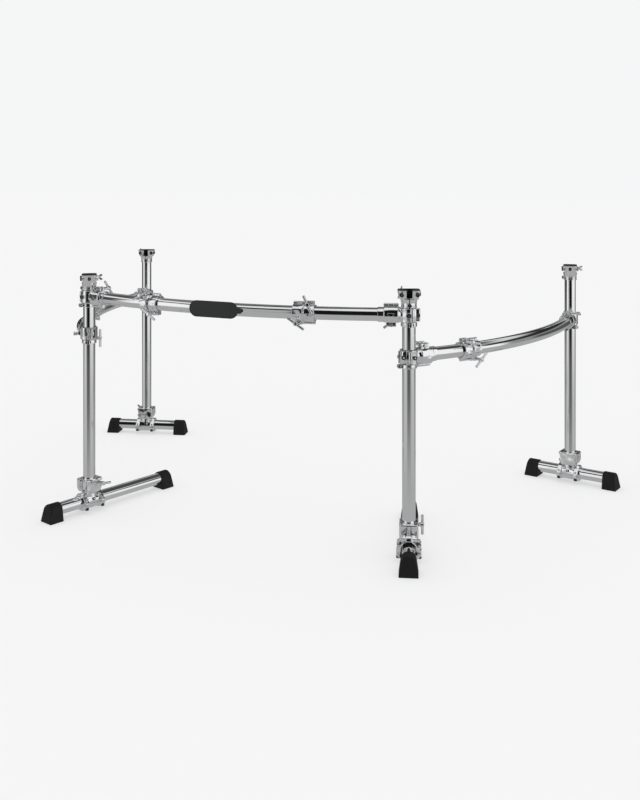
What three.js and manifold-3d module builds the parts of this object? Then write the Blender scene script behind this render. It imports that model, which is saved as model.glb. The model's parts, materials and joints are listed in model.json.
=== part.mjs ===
// A drum rack frame: a curved front bar and two curved side bars on four posts,
// each post in a T-shaped leg, with a tube chuck on its top.
// Millimetres, +Z up, the audience's side towards -Y.
import * as THREE from 'three';
import { mergeVertices } from 'three/addons/utils/BufferGeometryUtils.js';
import Module from 'manifold-3d';

const wasm = await Module();
wasm.setup();

// Layout of the rack, posts measured axis to axis. The front bar's clamps stand
// against the chucks, and the side bars are lower by the bar drop.
const frontSpan = 1070;
const wingSpan = 935;
const wingSplayDegrees = 20.4;
const barBulge = 90;
const rackHeight = 759;
const barDrop = 117.5;

// The tube that every bar, post and foot is cut from
const tubeDiameter = 38.1;
const tubeWall = 1.6;
const tubeSides = 16;
const barBoreSides = 8;
const barSteps = 18;

// Clearances and the overrun of every cut
const slip = 0.3;
const chuckGap = 0.5;
const overrun = 4;

// The legs
const frontFootLength = 497;
const rearFootLength = 332;
const footAxisHeight = 33.5;
const legClampTop = 108;
const legNeckRadius = 22.5;
const legShoulderHeight = 84;
const postSeatHeight = 66;
const saddleLength = 75;
const saddleLugLength = 15;
const saddleLugReach = 35;
const saddleLugTop = 43;
const saddleLugBottom = 19;
const legScrewHeight = 87;
const legEarWidth = 34;

// The rubber boots on the foot tubes
const bootLength = 50;
const bootWidth = 54;
const bootWall = 3.2;
const bootCornerHeight = 4;
const bootRake = 10;
const bootGrip = 34;
const bootArchSegments = 4;

// The cast clamps
const castWall = 7.5;
const castSides = 12;
const castEdge = 2;
const splitGap = 2.6;
const earHalf = 9;
const earReach = 34;
const screwReach = 27;
const knuckleRadius = 5.5;
const knuckleReach = 27.5;
const postRingHeight = 40;
const keyEarHeight = 36;
const keyEarReach = 32;
const neckRadius = 19;
const socketStart = 29;
const socketEnd = 71;
const sleeveEnd = 88;
const sleeveWall = 1.8;
const barEndSetback = 33;
const barStraight = 96;
const socketEarWidth = 28;

// The accessory clamps on the bars
const ringSlip = 0.5;
const ringWidth = 30;
const ringEarWidth = 24;
const discWidth = 3;
const discRadius = 33;

// The screws with a sliding-bar handle, and the drum-key bolts
const shankRadius = 3;
const collarRadius = 6.2;
const collarPast = 5;
const handleReach = 38;
const handleRadius = 3.3;
const handleLength = 58;
const shankTip = 5;
const keyHeadRadius = 6;
const keyHeadLength = 5;
const screwSides = 8;

// The chucks on the post tops
const chuckHeight = 51;
const cupHeight = 27;
const cupLength = 64;
const cupWidth = 48;
const cupCorner = 10;
const cupCornerSegments = 1;
const funnelFootRadius = 22;
const funnelTopRadius = 24;
const armBoreRadius = 13.2;
const chuckGrip = 28;
const cupSlot = 17;
const wingScrewSetout = 22;
const wingScrewDrop = 13;
const wingHubRadius = 6;
const wingHubLength = 9;
const wingSpread = 38;
const wingDepth = 15;
const wingThickness = 5;
const wingSetback = 3;

// The badge plate on the front bar
const badgeLength = 160;
const badgeHeight = 48;
const badgeThickness = 5;
const badgeSaddleLength = 110;
const badgeSaddleHeight = 22;
const badgeSaddleDepth = 6;
const badgeEndSegments = 6;
const badgeTabLength = 12;
const badgeTabHeight = 16;
const badgeOffset = -26;

const tubeRadius = tubeDiameter / 2;
const chuckFootHeight = rackHeight - chuckHeight;
const frontBarHeight = chuckFootHeight - chuckGap - postRingHeight / 2;
const sideBarHeight = frontBarHeight - barDrop;
const ringRadius = tubeRadius + castWall;
const boreRadius = (tubeRadius + slip) / Math.cos(Math.PI / tubeSides);
const slidingBoreRadius = (tubeRadius + ringSlip) / Math.cos(Math.PI / tubeSides);
const screwHoleRadius = (shankRadius + slip) / Math.cos(Math.PI / screwSides);
const quarterTurn = Math.PI / 2;
const halfTurn = Math.PI;
const { degToRad } = THREE.MathUtils;

// Where each leg stands on its post, seen from above. The turn is the way its
// clamp's ears point, in degrees from +X, and the ahead share is the part of its
// foot that reaches that way. The handle angle is the way its screw was left.
const legs = {
  front_left: { turn: 70.8, foot: frontFootLength, aheadShare: 0.67, handle: 0 },
  rear_left: { turn: 194.4, foot: rearFootLength, aheadShare: 0.488, handle: 40 },
  front_right: { turn: 106.3, foot: frontFootLength, aheadShare: 0.72, handle: 90 },
  rear_right: { turn: 167.1, foot: rearFootLength, aheadShare: 0.485, handle: -50 },
};

// How each chuck is turned on its post, in degrees, and its wing screw
const chucks = {
  front_left: { turn: -55, wing: 12 },
  rear_left: { turn: 22, wing: 60 },
  front_right: { turn: 22, wing: 100 },
  rear_right: { turn: -82, wing: -20 },
};

// The clamps on each bar's ends, from its -X end to its +X end. A flipped one has
// the ears of the bar's ring above the bar.
const barClamps = {
  front_bar: [
    { end: 'left', flipped: true, handle: -38 },
    { end: 'right', flipped: false, handle: 45 },
  ],
  left_side_bar: [
    { end: 'rear', flipped: true, handle: 60 },
    { end: 'front', flipped: false, handle: 0 },
  ],
  right_side_bar: [
    { end: 'front', flipped: true, handle: 82 },
    { end: 'rear', flipped: true, handle: 70 },
  ],
};

// The accessory clamps. The place share is how far along its bar each one stands
// from the bar's middle, and the swivel side is the side of its swivel ring.
const accessoryClamps = {
  left: { bar: 'front_bar', placeShare: -0.245, swivelSide: 1, handle: 52 },
  middle: { bar: 'front_bar', placeShare: 0.232, swivelSide: -1, handle: 50 },
  outer_left: { bar: 'left_side_bar', placeShare: 0.36, swivelSide: -1, handle: 90 },
  outer_right: { bar: 'right_side_bar', placeShare: -0.284, swivelSide: 1, handle: -55 },
};

// Geometry helpers

// A closed solid from a geometry, without the triangles that collapse on an axis
function solidOf(geometry) {
  const bare = geometry.clone();
  bare.deleteAttribute('normal');
  bare.deleteAttribute('uv');
  const merged = mergeVertices(bare);
  const corners = [];
  for (let i = 0; i < merged.index.count; i += 3) {
    const [a, b, c] = [merged.index.getX(i), merged.index.getX(i + 1), merged.index.getX(i + 2)];
    if (a !== b && b !== c && c !== a) corners.push(a, b, c);
  }
  return new wasm.Manifold(new wasm.Mesh({
    numProp: 3,
    vertProperties: Float32Array.from(merged.attributes.position.array),
    triVerts: Uint32Array.from(corners),
  }));
}

// One geometry from the pieces added together, less the pieces cut away
function carve(added, cut = []) {
  let body = solidOf(added[0]);
  for (const piece of added.slice(1)) body = body.add(solidOf(piece));
  for (const piece of cut) body = body.subtract(solidOf(piece));
  const mesh = body.getMesh();
  const geometry = new THREE.BufferGeometry();
  geometry.setAttribute('position', new THREE.BufferAttribute(mesh.vertProperties, 3));
  geometry.setIndex(new THREE.BufferAttribute(mesh.triVerts, 1));
  geometry.computeVertexNormals();
  return geometry;
}

// A block between two corners
function block(low, high) {
  const size = [0, 1, 2].map((i) => high[i] - low[i]);
  const middle = [0, 1, 2].map((i) => (high[i] + low[i]) / 2);
  return new THREE.BoxGeometry(...size).translate(...middle);
}

// A round rod from z = low up to z = high
function rod(radius, low, high, sides = tubeSides) {
  const length = high - low;
  return new THREE.CylinderGeometry(radius, radius, length, sides)
    .rotateX(quarterTurn)
    .translate(0, 0, low + length / 2);
}

// A profile of [radius, z] points turned round the Z axis
function turned(profile, sides = tubeSides) {
  const points = profile.map(([radius, z]) => new THREE.Vector2(radius, z));
  return new THREE.LatheGeometry(points, sides).rotateX(quarterTurn);
}

// The round body of a casting along Z, with its middle on the origin
function barrel(radius, length) {
  return rod(radius, -length / 2, length / 2, castSides);
}

// Pieces along Z laid along X, with what pointed to +X pointing down
function laidAlongX(geometry) {
  return geometry.rotateY(quarterTurn);
}

// The curved bars

// A bar's centre line: an arc between two straight ends that point at the posts.
// It spans along X, bulges towards -Y, and lies in the plane z = 0.
class BarLine extends THREE.Curve {
  constructor(span, bulge) {
    super();
    this.span = span;
    this.half = 2 * Math.atan(bulge / (span / 2 + barStraight));
    this.radius = (span / 2 - barStraight * Math.cos(this.half)) / Math.sin(this.half);
    this.centreY = this.radius - bulge;
    this.straight = barStraight - barEndSetback;
    this.reach = this.straight + this.radius * this.half;
  }

  // The point at an arc length from the middle, and the line's direction there
  at(distance) {
    const bend = this.radius * this.half;
    const past = Math.max(Math.abs(distance) - bend, 0) * Math.sign(distance);
    const angle = (distance - past) / this.radius;
    const point = new THREE.Vector3(
      this.radius * Math.sin(angle) + past * Math.cos(angle),
      this.centreY - this.radius * Math.cos(angle) + past * Math.sin(angle),
      0,
    );
    return { point, angle };
  }

  getPoint(t, target = new THREE.Vector3()) {
    return target.copy(this.at((2 * t - 1) * this.reach).point);
  }
}

// The corners of a circle
function circle(radius, sides) {
  const step = (2 * Math.PI) / sides;
  return Array.from({ length: sides }, (_, i) => new THREE.Vector2(
    radius * Math.cos(i * step),
    radius * Math.sin(i * step),
  ));
}

// A round bar or tube swept along a bar's centre line
function sweptTube(line, radius, wall = 0) {
  const section = new THREE.Shape(circle(radius, tubeSides));
  if (wall > 0) section.holes.push(new THREE.Path(circle(radius - wall, barBoreSides)));
  return new THREE.ExtrudeGeometry(section, { steps: barSteps, extrudePath: line });
}

const frontLine = new BarLine(frontSpan, barBulge);
const sideLine = new BarLine(wingSpan, barBulge);

// The pieces

// A straight tube along Z
function tube(low, high) {
  const bore = tubeRadius - tubeWall;
  return turned([[bore, low], [tubeRadius, low], [tubeRadius, high], [bore, high], [bore, low]]);
}

// The ears and hinge knuckle of a split ring whose hollow runs along Z.
// The ears point to +X, and their screw runs along Y.
function ringTrim(length, earWidth) {
  return [
    block([0, -earHalf, -earWidth / 2], [earReach, earHalf, earWidth / 2]),
    rod(knuckleRadius, -length / 2, length / 2, screwSides).translate(-knuckleReach, 0, 0),
  ];
}

// The slot between the ears, the flats that the screw bears on, and its hole
function ringCuts(length) {
  const halfSlot = length / 2 + overrun;
  const flatStart = screwReach - collarRadius - slip;
  const outside = ringRadius + overrun;
  return [
    block([0, -splitGap / 2, -halfSlot], [earReach + overrun, splitGap / 2, halfSlot]),
    block([flatStart, earHalf, -halfSlot], [outside, outside, halfSlot]),
    block([flatStart, -outside, -halfSlot], [outside, -earHalf, halfSlot]),
    rod(screwHoleRadius, -earHalf - overrun, earHalf + overrun, screwSides)
      .rotateX(quarterTurn)
      .translate(screwReach, 0, 0),
  ];
}

// One ring of an accessory clamp. Its bar runs along Z, its ears point to +X.
function accessoryRing(hasDisc) {
  const half = ringWidth / 2;
  const added = [barrel(ringRadius, ringWidth), ...ringTrim(ringWidth, ringEarWidth)];
  if (hasDisc) added.push(rod(discRadius, half, half + discWidth, tubeSides));
  const bore = rod(slidingBoreRadius, -half - overrun, half + discWidth + overrun);
  return carve(added, [bore, ...ringCuts(ringWidth)]);
}

// A clamp that joins a bar's end to a post. The post runs along Z and the bar
// along X, with the ears of the bar's ring pointing down.
function barClamp() {
  const socketLength = socketEnd - socketStart;
  const socketMiddle = (socketStart + socketEnd) / 2;
  const alongBar = (geometry) => laidAlongX(geometry).translate(socketMiddle, 0, 0);
  const keyEarHalf = keyEarHeight / 2;
  const added = [
    barrel(ringRadius, postRingHeight),
    block([-keyEarReach, -earHalf, -keyEarHalf], [0, earHalf, keyEarHalf]),
    rod(keyHeadRadius, -earHalf - keyHeadLength, earHalf + keyHeadLength, screwSides)
      .rotateX(quarterTurn)
      .translate(keyHeadRadius - keyEarReach, 0, 0),
    laidAlongX(rod(neckRadius, 0, socketStart + overrun, castSides)),
    laidAlongX(rod(boreRadius + sleeveWall, socketEnd - overrun, sleeveEnd)),
    alongBar(barrel(ringRadius, socketLength)),
    ...ringTrim(socketLength, socketEarWidth).map(alongBar),
  ];
  const cut = [
    rod(boreRadius, -postRingHeight, postRingHeight),
    block(
      [-keyEarReach - overrun, -splitGap / 2, -postRingHeight],
      [0, splitGap / 2, postRingHeight],
    ),
    laidAlongX(rod(boreRadius, barEndSetback - slip, sleeveEnd + overrun)),
    ...ringCuts(socketLength).map(alongBar),
  ];
  return carve(added, cut);
}

// A screw along +Z whose round collar stands on a clamp's ear, with a bar handle
// along X across its end. Its origin is midway between the ears.
function handleScrew() {
  const handle = laidAlongX(rod(handleRadius, -handleLength / 2, handleLength / 2, screwSides));
  return carve([
    rod(shankRadius, -earHalf - shankTip, earHalf + overrun, screwSides),
    rod(collarRadius, earHalf + slip, handleReach + collarPast, screwSides),
    handle.translate(0, 0, handleReach),
  ]);
}

// The casting that holds a post upright over its foot tube. The post runs
// along Z, the foot along X, and the ears of the post's ring point to +X.
function legClamp() {
  const half = saddleLength / 2;
  const lug = (x) => block(
    [x - saddleLugLength / 2, -saddleLugReach, saddleLugBottom],
    [x + saddleLugLength / 2, saddleLugReach, saddleLugTop],
  );
  const lugPlace = half - saddleLugLength / 2;
  const body = turned([
    [0, footAxisHeight],
    [legNeckRadius, footAxisHeight],
    [legNeckRadius, postSeatHeight - castEdge],
    [ringRadius, legShoulderHeight],
    [ringRadius, legClampTop - castEdge],
    [ringRadius - castEdge, legClampTop],
    [0, legClampTop],
  ], castSides);
  const atScrew = (geometry) => geometry.translate(0, 0, legScrewHeight);
  const added = [
    body,
    laidAlongX(barrel(ringRadius, saddleLength)).translate(0, 0, footAxisHeight),
    lug(-lugPlace),
    lug(lugPlace),
    ...ringTrim(legEarWidth, legEarWidth).map(atScrew),
  ];
  const slotLength = 2 * (legScrewHeight - postSeatHeight);
  const cut = [
    rod(boreRadius, postSeatHeight, legClampTop + overrun),
    laidAlongX(rod(boreRadius, -half - overrun, half + overrun)).translate(0, 0, footAxisHeight),
    ...ringCuts(slotLength).map(atScrew),
  ];
  return carve(added, cut);
}

// A rubber boot on a foot tube's end, with the tube entering along +X and the
// raked outer face towards +X. The origin is on the floor under its inner face.
function rubberBoot() {
  const arch = tubeRadius + bootWall;
  const half = bootWidth / 2;
  const drop = footAxisHeight - bootCornerHeight;
  const side = Math.acos(arch / Math.hypot(half, drop)) - Math.atan2(drop, half);
  const outline = new THREE.Shape();
  outline.moveTo(half, 0);
  outline.lineTo(half, bootCornerHeight);
  outline.absarc(0, footAxisHeight, arch, side, halfTurn - side);
  outline.lineTo(-half, bootCornerHeight);
  outline.lineTo(-half, 0);
  outline.closePath();
  const section = new THREE.ExtrudeGeometry(outline, {
    depth: bootLength,
    bevelEnabled: false,
    curveSegments: bootArchSegments,
  });
  section.rotateX(quarterTurn).rotateZ(quarterTurn);
  const top = footAxisHeight + arch;
  const rake = Math.atan2(bootRake, top);
  const waste = block([0, -bootWidth, -overrun], [bootLength, bootWidth, 2 * top])
    .rotateY(-rake)
    .translate(bootLength, 0, 0);
  const pocket = laidAlongX(rod(boreRadius, -overrun, bootGrip + slip));
  return carve([section], [waste, pocket.translate(0, 0, footAxisHeight)]);
}

// The chuck on a post's top, from its own foot at z = 0. Its cup is long along X
// and open in a slot towards -Y.
function chuck() {
  const cupFoot = chuckHeight - cupHeight;
  const [halfLength, halfWidth] = [cupLength / 2, cupWidth / 2];
  const outline = new THREE.Shape();
  const [cornerX, cornerY] = [halfLength - cupCorner, halfWidth - cupCorner];
  outline.absarc(cornerX, cornerY, cupCorner, 0, quarterTurn);
  outline.absarc(-cornerX, cornerY, cupCorner, quarterTurn, halfTurn);
  outline.absarc(-cornerX, -cornerY, cupCorner, halfTurn, halfTurn + quarterTurn);
  outline.absarc(cornerX, -cornerY, cupCorner, -quarterTurn, 0);
  outline.closePath();
  const cup = new THREE.ExtrudeGeometry(outline, {
    depth: cupHeight,
    bevelEnabled: false,
    curveSegments: cupCornerSegments,
  });
  const funnel = turned([
    [0, 0],
    [funnelFootRadius, 0],
    [funnelTopRadius, cupFoot],
    [funnelTopRadius, cupFoot + overrun],
    [0, cupFoot + overrun],
  ], castSides);
  const screwHole = rod(screwHoleRadius, -cupWidth, cupWidth, screwSides)
    .rotateX(quarterTurn)
    .translate(-wingScrewSetout, 0, chuckHeight - wingScrewDrop);
  return carve([cup.translate(0, 0, cupFoot), funnel], [
    rod(boreRadius, -overrun, chuckGrip + slip),
    rod(armBoreRadius, 0, chuckHeight + overrun),
    block([-cupSlot / 2, -cupWidth, chuckGrip + slip], [cupSlot / 2, 0, chuckHeight + overrun]),
    screwHole,
  ]);
}

// The screw through a chuck's cup, along +Z from its drum-key head to its wing.
// Its origin is midway through the cup.
function wingScrew() {
  const half = cupWidth / 2;
  const hubStart = half + slip;
  const outline = new THREE.Shape();
  outline.moveTo(-wingSpread / 2, wingDepth);
  outline.lineTo(-wingSpread / 2, wingDepth / 2);
  outline.lineTo(-wingHubRadius, 0);
  outline.lineTo(wingHubRadius, 0);
  outline.lineTo(wingSpread / 2, wingDepth / 2);
  outline.lineTo(wingSpread / 2, wingDepth);
  outline.closePath();
  const wing = new THREE.ExtrudeGeometry(outline, { depth: wingThickness, bevelEnabled: false })
    .translate(0, 0, -wingThickness / 2)
    .rotateX(quarterTurn)
    .translate(0, 0, hubStart + wingSetback);
  return carve([
    rod(shankRadius, -half - overrun, hubStart + overrun, screwSides),
    rod(keyHeadRadius, -half - slip - keyHeadLength, -half - slip, screwSides),
    rod(wingHubRadius, hubStart, hubStart + wingHubLength, screwSides),
    wing,
  ]);
}

// The bare badge plate, in the front bar's own frame
function badge() {
  const end = badgeHeight / 2;
  const run = badgeLength / 2 - end;
  const outline = new THREE.Shape();
  outline.absarc(run, 0, end, -quarterTurn, quarterTurn);
  outline.absarc(-run, 0, end, quarterTurn, halfTurn + quarterTurn);
  outline.closePath();
  const face = -tubeRadius - slip;
  const plate = new THREE.ExtrudeGeometry(outline, {
    depth: badgeThickness,
    bevelEnabled: false,
    curveSegments: badgeEndSegments,
  });
  plate.rotateX(quarterTurn).translate(0, face, 0);
  const halfSaddle = badgeSaddleLength / 2;
  const saddle = block(
    [-halfSaddle, face - overrun, -badgeSaddleHeight / 2],
    [halfSaddle, face + badgeSaddleDepth, badgeSaddleHeight / 2],
  );
  const tab = block(
    [badgeLength / 2 - overrun, face - badgeThickness, -badgeTabHeight / 2],
    [badgeLength / 2 + badgeTabLength, face, badgeTabHeight / 2],
  );
  const { point, angle } = frontLine.at(badgeOffset);
  for (const piece of [plate, saddle, tab]) piece.rotateZ(angle).translate(point.x, point.y, 0);
  return carve([plate, saddle, tab], [sweptTube(frontLine, boreRadius)]);
}

// Materials
const chrome = { color: 0xc8cbd0, roughness: 0.12, metalness: 1 };
const castChrome = { color: 0xbfc2c7, roughness: 0.2, metalness: 1 };
const screwSteel = { color: 0xb4b7bc, roughness: 0.25, metalness: 1 };
const blackRubber = { color: 0x1e1e1f, roughness: 0.75, metalness: 0 };
const blackPlastic = { color: 0x151516, roughness: 0.4, metalness: 0 };

// Assembly
const rack = new THREE.Group();
const barClampShape = barClamp();
const legClampShape = legClamp();
const handleScrewShape = handleScrew();
const chuckShape = chuck();
const wingScrewShape = wingScrew();
const bootShape = rubberBoot();
const ringShape = accessoryRing(false);
const discRingShape = accessoryRing(true);

function addPiece(parent, name, geometry, finish) {
  const mesh = new THREE.Mesh(geometry, new THREE.MeshStandardMaterial(finish));
  mesh.name = name;
  parent.add(mesh);
  return mesh;
}

function addFrame(parent, x, y, z, turn = 0) {
  const frame = new THREE.Group();
  frame.position.set(x, y, z);
  frame.rotation.z = turn;
  parent.add(frame);
  return frame;
}

// A handle screw in the ears of a ring that points its ears to +X in its frame
function addHandleScrew(frame, name, handle) {
  const screw = addPiece(frame, name, handleScrewShape, screwSteel);
  screw.position.set(screwReach, 0, 0);
  screw.rotation.set(quarterTurn, 0, 0);
  screw.rotateZ(degToRad(handle));
}

// Post, chuck and T-shaped leg at one corner of the rack
function addCorner(corner, x, y) {
  const post = addFrame(rack, x, y, 0);
  addPiece(post, `${corner}_post`, tube(postSeatHeight + slip, chuckFootHeight + chuckGrip), chrome);

  const chuckFrame = addFrame(post, 0, 0, chuckFootHeight, degToRad(chucks[corner].turn));
  addPiece(chuckFrame, `${corner}_chuck`, chuckShape, castChrome);
  const wing = addPiece(chuckFrame, `${corner}_chuck_wing_screw`, wingScrewShape, screwSteel);
  wing.position.set(-wingScrewSetout, 0, chuckHeight - wingScrewDrop);
  wing.rotation.set(-quarterTurn, 0, 0);
  wing.rotateZ(degToRad(chucks[corner].wing));

  const { turn, foot, aheadShare, handle } = legs[corner];
  const leg = addFrame(post, 0, 0, 0, degToRad(turn));
  addPiece(leg, `${corner}_leg_clamp`, legClampShape, castChrome);
  addHandleScrew(addFrame(leg, 0, 0, legScrewHeight), `${corner}_leg_screw`, handle);

  const ahead = foot * aheadShare;
  const behind = foot - ahead;
  const tubeSetback = bootLength - bootGrip;
  const footTube = laidAlongX(tube(tubeSetback - behind, ahead - tubeSetback));
  footTube.translate(0, 0, footAxisHeight);
  addPiece(leg, `${corner}_foot_tube`, footTube, chrome);
  const boots = {
    ahead: { x: ahead - bootLength, turn: 0 },
    behind: { x: bootLength - behind, turn: halfTurn },
  };
  for (const [end, boot] of Object.entries(boots)) {
    const bootFrame = addFrame(leg, boot.x, 0, 0, boot.turn);
    addPiece(bootFrame, `${corner}_foot_boot_${end}`, bootShape, blackRubber);
  }
}

// A bar clamp on a post, its neck turned towards the bar
function addBarClamp(frame, name, x, turn, { flipped, handle }) {
  const clampFrame = addFrame(frame, x, 0, 0, turn);
  if (flipped) clampFrame.rotateX(halfTurn);
  addPiece(clampFrame, name, barClampShape, castChrome);
  const socket = addFrame(clampFrame, (socketStart + socketEnd) / 2, 0, 0);
  socket.rotateY(quarterTurn);
  addHandleScrew(socket, `${name}_screw`, handle);
}

// An accessory clamp: two rings with a disc between them, side by side on a bar.
// The swivel ring's ears point down. The disc ring's point up.
function addAccessoryClamp(frame, line, name, { placeShare, swivelSide, handle }) {
  const lean = (discRadius * (ringWidth + discWidth)) / line.radius;
  const apart = (ringWidth + discWidth + lean + slip) / 2;
  const ringFrame = (fromPlace, upside) => {
    const { point, angle } = line.at(placeShare * line.span + fromPlace);
    const place = addFrame(frame, point.x, point.y, 0, angle);
    place.rotateY(upside ? -quarterTurn : quarterTurn);
    return place;
  };
  const swivel = ringFrame(swivelSide * (apart + discWidth / 2), false);
  addPiece(swivel, `${name}_swivel_ring`, ringShape, castChrome);
  addHandleScrew(swivel, `${name}_screw`, handle);
  const disc = ringFrame(-swivelSide * (apart - discWidth / 2), true);
  const facing = addFrame(disc, 0, 0, 0);
  if (swivelSide > 0) facing.rotateX(halfTurn);
  addPiece(facing, `${name}_disc_ring`, discRingShape, castChrome);
}

// A bar with the clamps on its two ends and the accessory clamps along it
function addBar(frame, line, name) {
  addPiece(frame, name, sweptTube(line, tubeRadius, tubeWall), chrome);
  const half = line.span / 2;
  const [low, high] = barClamps[name];
  addBarClamp(frame, `${name}_${low.end}_clamp`, -half, -line.half, low);
  addBarClamp(frame, `${name}_${high.end}_clamp`, half, halfTurn + line.half, high);
  for (const [place, clamp] of Object.entries(accessoryClamps)) {
    if (clamp.bar === name) addAccessoryClamp(frame, line, `${place}_accessory_clamp`, clamp);
  }
}

const frontX = frontSpan / 2;
const splay = degToRad(wingSplayDegrees);
const rearX = frontX + wingSpan * Math.sin(splay);
const rearY = wingSpan * Math.cos(splay);
addCorner('front_left', -frontX, 0);
addCorner('rear_left', -rearX, rearY);
addCorner('front_right', frontX, 0);
addCorner('rear_right', rearX, rearY);

const front = addFrame(rack, 0, 0, frontBarHeight);
addBar(front, frontLine, 'front_bar');
addPiece(front, 'front_badge', badge(), blackPlastic);

// Each side bar runs from a front post to the rear post behind it
const wingX = (frontX + rearX) / 2;
for (const [name, side] of [['left_side_bar', -1], ['right_side_bar', 1]]) {
  const turn = side * (quarterTurn - splay);
  addBar(addFrame(rack, side * wingX, rearY / 2, sideBarHeight, turn), sideLine, name);
}

// The origin is on the floor, under the middle of the rack's outline
const outlineMiddle = new THREE.Box3().setFromObject(rack, true).getCenter(new THREE.Vector3());
rack.position.set(-outlineMiddle.x, -outlineMiddle.y, 0);
rack.updateMatrixWorld(true);

export default rack;
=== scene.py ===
# Looks of the drum rack frame. Lengths in the dictionaries are millimetres,
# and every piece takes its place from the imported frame.
import json
import math

import bmesh
import bpy
from mathutils import Matrix, Vector


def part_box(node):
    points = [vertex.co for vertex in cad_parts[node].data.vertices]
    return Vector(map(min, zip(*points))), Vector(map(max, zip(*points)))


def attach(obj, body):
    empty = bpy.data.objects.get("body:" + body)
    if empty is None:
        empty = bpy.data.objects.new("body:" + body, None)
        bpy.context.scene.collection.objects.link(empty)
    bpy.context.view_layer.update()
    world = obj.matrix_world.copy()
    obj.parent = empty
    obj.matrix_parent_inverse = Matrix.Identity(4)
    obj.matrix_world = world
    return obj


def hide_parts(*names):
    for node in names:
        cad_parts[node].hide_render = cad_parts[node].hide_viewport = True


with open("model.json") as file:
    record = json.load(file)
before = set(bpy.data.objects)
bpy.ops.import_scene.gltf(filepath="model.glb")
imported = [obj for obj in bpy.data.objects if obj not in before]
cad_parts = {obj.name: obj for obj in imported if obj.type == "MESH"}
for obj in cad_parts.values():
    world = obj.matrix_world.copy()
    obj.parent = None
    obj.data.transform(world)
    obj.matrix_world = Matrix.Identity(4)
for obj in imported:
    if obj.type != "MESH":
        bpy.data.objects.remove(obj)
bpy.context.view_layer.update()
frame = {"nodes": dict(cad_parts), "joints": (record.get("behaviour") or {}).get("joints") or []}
mm = 0.001
joints = {joint["name"]: joint for joint in frame["joints"]}
corners = ("front_left", "rear_left", "front_right", "rear_right")
up = Vector((0, 0, 1))


# Reading places from the frame
def middle(node):
    low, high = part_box(node)
    return (low + high) / 2


def jointPlace(name):
    return Vector(joints[name]["pos_m"])


def jointAxis(name):
    return Vector(joints[name]["axis"]).normalized()


def extent(node, origin, direction):  # how far a node reaches along a line, in metres
    along = [(v.co - origin).dot(direction) for v in frame["nodes"][node].data.vertices]
    return min(along), max(along)


def axes(origin, xAxis, zAxis):  # a frame in millimetres at a place in metres
    x = xAxis.normalized()
    z = zAxis.normalized()
    turn = Matrix((x, z.cross(x), z)).transposed().to_4x4()
    return Matrix.Translation(origin) @ turn @ Matrix.Scale(mm, 4)


def farthest(node, origin, axis):  # the way a node sticks out furthest from an axis
    best = Vector()
    for vertex in frame["nodes"][node].data.vertices:
        away = vertex.co - origin
        away -= away.dot(axis) * axis
        if away.length > best.length:
            best = away
    return best.normalized()


postAxis = {corner: Vector((*middle(f"{corner}_post").xy, 0)) for corner in corners}
tubeRadius = (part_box("front_left_post")[1].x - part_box("front_left_post")[0].x) / 2 / mm


def newObject(name, data):
    made = bpy.data.objects.new(name, data)
    bpy.context.scene.collection.objects.link(made)
    return made


# Camera: the photograph's viewpoint, level, with its frame shifted down
view = {
    "acrossFromMiddle": 1350,  # from the middle of the front posts
    "back": 2713,
    "height": 1109.7,
    "turnDegrees": 21.8,
    "lens": 45,
    "sensor": 36,
    "shiftDown": 0.2936,
    "clipEnd": 60,  # metres
}


def addCamera():
    camera = newObject("camera", bpy.data.cameras.new("camera"))
    start = (postAxis["front_left"] + postAxis["front_right"]) / 2
    camera.location = start + Vector((view["acrossFromMiddle"], -view["back"], view["height"])) * mm
    camera.rotation_euler = (math.pi / 2, 0, math.radians(view["turnDegrees"]))
    camera.data.lens = view["lens"]
    camera.data.sensor_width = view["sensor"]
    camera.data.sensor_fit = "AUTO"
    camera.data.shift_y = -view["shiftDown"]
    camera.data.clip_end = view["clipEnd"]
    bpy.context.scene.camera = camera
    print("camera is at", [round(value, 3) for value in camera.location])


addCamera()

# Finishes. Every one reads object coordinates, in metres.
finishes = {
    "tubeChrome": {"colour": (0.93, 0.935, 0.945), "metal": 1, "rough": 0.03, "smudge": 0.03,
                   "blotch": 9, "grain": 700, "height": 0.00002, "wave": 0.0},
    "castChrome": {"colour": (0.94, 0.945, 0.955), "metal": 1, "rough": 0.05, "smudge": 0.05,
                   "blotch": 30, "grain": 320, "height": 0.00005, "wave": 0.002},
    "screwChrome": {"colour": (0.9, 0.905, 0.915), "metal": 1, "rough": 0.08, "smudge": 0.08,
                    "blotch": 45, "grain": 500, "height": 0.00003, "wave": 0.0003},
    "boltSteel": {"colour": (0.11, 0.11, 0.115), "metal": 1, "rough": 0.32, "smudge": 0.12,
                  "blotch": 160, "grain": 1500, "height": 0.00003, "wave": 0.0},
    "bootRubber": {"colour": (0.0035, 0.0035, 0.004), "metal": 0, "rough": 0.62, "smudge": 0.14,
                   "blotch": 40, "grain": 1600, "height": 0.00016, "wave": 0.0},
    "badgePlastic": {"colour": (0.013, 0.014, 0.0145), "metal": 0, "rough": 0.34, "smudge": 0.08,
                     "blotch": 25, "grain": 1800, "height": 0.00005, "wave": 0.0},
    "sleevePlastic": {"colour": (0.006, 0.006, 0.0065), "metal": 0, "rough": 0.45, "smudge": 0.1,
                      "blotch": 60, "grain": 1200, "height": 0.00004, "wave": 0.0},
}
handling = {  # what hands and years leave on every finish
    "blotchFrom": 0.42,
    "blotchTo": 0.72,
    "tint": (0.96, 0.96, 0.965, 1),
    "waveScale": 50,
}


def addSockets(tree, way, kinds):
    for name, kind in kinds.items():
        tree.interface.new_socket(name, in_out=way, socket_type=f"NodeSocket{kind}")


def setInputs(node, inputs):  # each input gets a value, or a link from another node's output
    for name, value in inputs.items():
        if isinstance(value, bpy.types.NodeSocket):
            node.id_data.links.new(value, node.inputs[name])
        else:
            node.inputs[name].default_value = value


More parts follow.
